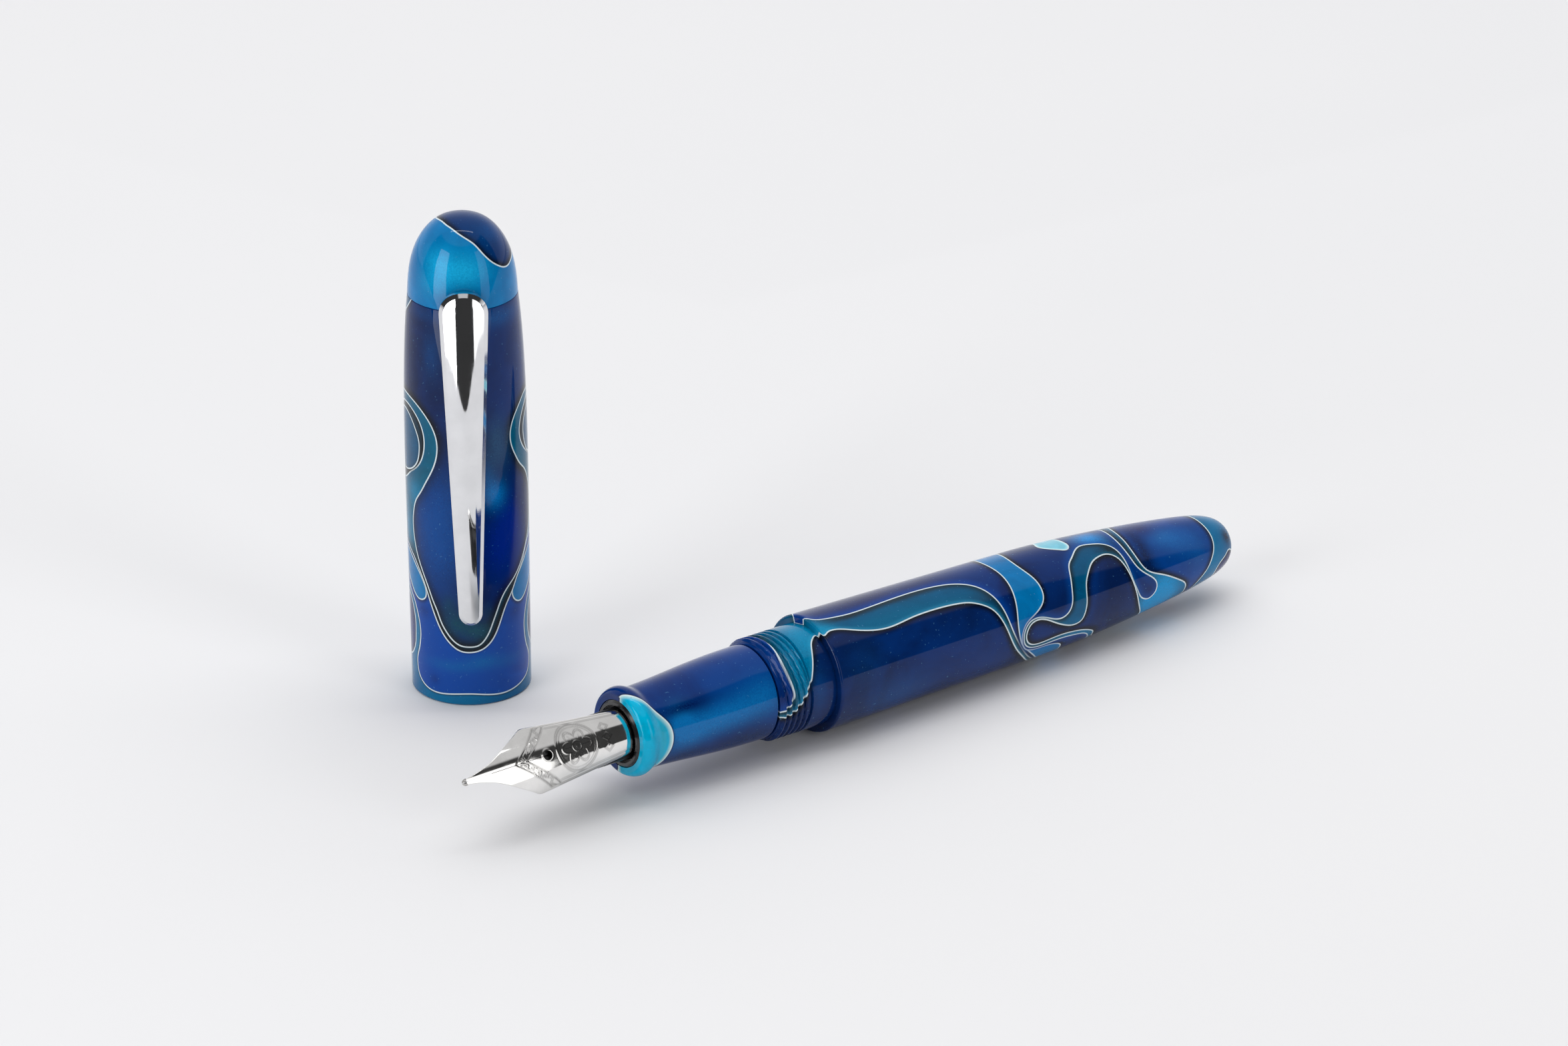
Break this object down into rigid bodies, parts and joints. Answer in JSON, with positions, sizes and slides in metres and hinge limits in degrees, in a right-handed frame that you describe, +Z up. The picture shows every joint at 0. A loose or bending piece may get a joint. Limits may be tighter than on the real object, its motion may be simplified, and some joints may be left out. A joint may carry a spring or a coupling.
{
  "type": "fountain pen",
  "caption": "Fountain pen lying uncapped beside its standing cap: swirled acrylic barrel, cap and grip, steel nib, spring clip and piston converter.",
  "frame": {"origin": "on the table plane, at the centre of the bounding box of the uncapped pen and its standing cap", "axes": "+X along the lying pen, nib towards -X and tail towards +X; +Z up out of the open mouth's rest plane along the cap; the cap stands on the +Y side of the pen"},
  "size_m": [0.1196, 0.0514, 0.0625],
  "materials": {
    "swirl_acrylic": "polished pearlescent acrylic, royal blue with turquoise ribbons and thin white lines",
    "black_plastic": "glossy black injection-moulded plastic",
    "polished_steel": "polished stainless steel nib",
    "tipping_alloy": "ground and polished hard alloy",
    "feed_plastic": "matt black moulded feed",
    "clear_plastic": "clear moulded plastic",
    "chrome_plate": "bright chrome plate",
    "seal_rubber": "black elastomer",
    "liner_plastic": "dark moulded liner"
  },
  "bodies": {
    "barrel": {"barrel": "swirl_acrylic"},
    "cap": {"cap_tube": "swirl_acrylic", "cap_finial": "swirl_acrylic", "inner_cap": "liner_plastic", "clip_ring": "chrome_plate"},
    "clip": {"clip": "chrome_plate"},
    "grip": {"grip_section": "swirl_acrylic"},
    "nib_unit": {"nib_housing": "black_plastic", "nib": "polished_steel", "nib_tipping": "tipping_alloy", "feed": "feed_plastic"},
    "converter": {"converter_tube": "clear_plastic", "converter_mouth": "seal_rubber", "converter_collar": "chrome_plate", "spindle_guide": "liner_plastic"},
    "converter_drive": {"converter_knob": "black_plastic", "drive_nut": "liner_plastic"},
    "piston": {"piston_spindle": "black_plastic", "piston_seal": "seal_rubber"}
  },
  "joints": [
    {"name": "cap_lift", "type": "slide", "parent": "barrel", "child": "cap", "axis": [0, 0, 1], "range_m": [0, 0.1]},
    {"name": "clip_flex", "type": "hinge", "parent": "cap", "child": "clip", "pos_m": [-0.03597, 0.01286, 0.05224], "axis": [-0.8271, 0.5621, 0], "range_deg": [0, 3], "stiffness_Nm_per_rad": 0.9},
    {"name": "grip_pull", "type": "slide", "parent": "barrel", "child": "grip", "axis": [-0.9999, 0, 0.0168], "range_m": [0, 0.075]},
    {"name": "nib_pull", "type": "slide", "parent": "grip", "child": "nib_unit", "axis": [-0.9999, 0, 0.0168], "range_m": [0, 0.03]},
    {"name": "converter_pull", "type": "slide", "parent": "grip", "child": "converter", "axis": [0.9999, 0, -0.0168], "range_m": [0, 0.009]},
    {"name": "knob_turn", "type": "hinge", "parent": "converter", "child": "converter_drive", "pos_m": [0.0279, -0.01819, 0.00687], "axis": [0.9999, 0, -0.0168], "range_deg": [0, 1651]},
    {"name": "piston_travel", "type": "slide", "parent": "converter", "child": "piston", "axis": [0.9999, 0, -0.0168], "range_m": [0, 0.022]}
  ],
  "couplings": [
    {"joint": "knob_turn", "follows": "piston_travel", "rad_per_m": 1309}
  ]
}
